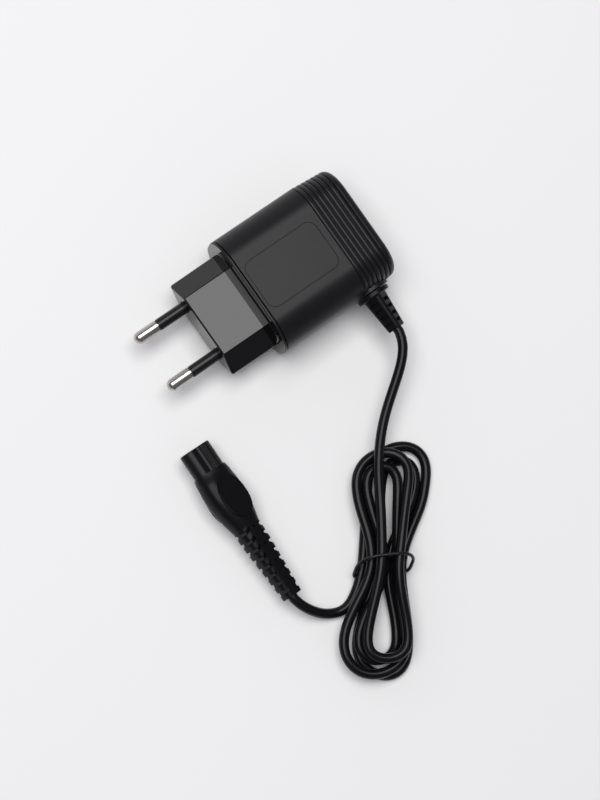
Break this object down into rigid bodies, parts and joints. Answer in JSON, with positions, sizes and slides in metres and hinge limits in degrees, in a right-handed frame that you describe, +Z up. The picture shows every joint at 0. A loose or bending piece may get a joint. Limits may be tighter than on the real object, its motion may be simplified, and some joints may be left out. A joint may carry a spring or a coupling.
{
  "type": "mains power adaptor",
  "caption": "Plug-in mains adaptor with a hexagonal plug block and round pins, ribbed rear, side strain relief, tied cord hank and a small ribbed charging connector.",
  "frame": {"origin": "middle of the adaptor's own footprint, on the surface that its flat side lies on; the cord and the connector are not counted", "axes": "+Y from the plug pins toward the ribbed rear, +X toward the side that the cord leaves from, +Z up out of the panel side"},
  "size_m": [0.1471, 0.0921, 0.025],
  "materials": {
    "housing_plastic": "fine satin black",
    "plug_plastic": "polished black",
    "pin_metal": "bright nickel plate on brass",
    "sleeve_plastic": "smooth black",
    "wire_sheath": "smooth insulation",
    "board": "green solder mask",
    "ferrite": "dull sintered",
    "winding_tape": "yellow tape",
    "can_sleeve": "black sleeve on an aluminium can",
    "copper_winding": "enamelled copper",
    "chip_plastic": "moulded epoxy",
    "film_case": "dipped epoxy",
    "resistor_coat": "ceramic coat",
    "relief_rubber": "satin flexible vinyl",
    "cord_sheath": "glossy vinyl",
    "tie_wire": "black coated wire",
    "connector_plastic": "hard black plastic",
    "contact_metal": "plain"
  },
  "bodies": {
    "root": {"rear_housing": "housing_plastic", "plug_housing": "plug_plastic", "live_pin": "pin_metal", "neutral_pin": "pin_metal", "live_pin_sleeve": "sleeve_plastic", "neutral_pin_sleeve": "sleeve_plastic", "live_wire": "wire_sheath", "neutral_wire": "wire_sheath", "circuit_board": "board", "transformer_core": "ferrite", "transformer_winding": "winding_tape", "input_capacitor": "can_sleeve", "output_capacitor": "can_sleeve", "filter_inductor": "copper_winding", "bridge_rectifier": "chip_plastic", "controller_chip": "chip_plastic", "optocoupler": "chip_plastic", "safety_capacitor": "film_case", "fuse_resistor": "resistor_coat", "output_diode": "chip_plastic", "output_wire_positive": "wire_sheath", "output_wire_negative": "wire_sheath", "adaptor_strain_relief": "relief_rubber", "cord_lead": "cord_sheath", "cord_hank": "cord_sheath", "cord_tail": "cord_sheath", "hank_tie": "tie_wire", "connector_nose": "connector_plastic", "connector_contact_left": "contact_metal", "connector_contact_right": "contact_metal", "connector_overmould": "relief_rubber"}
  },
  "joints": []
}
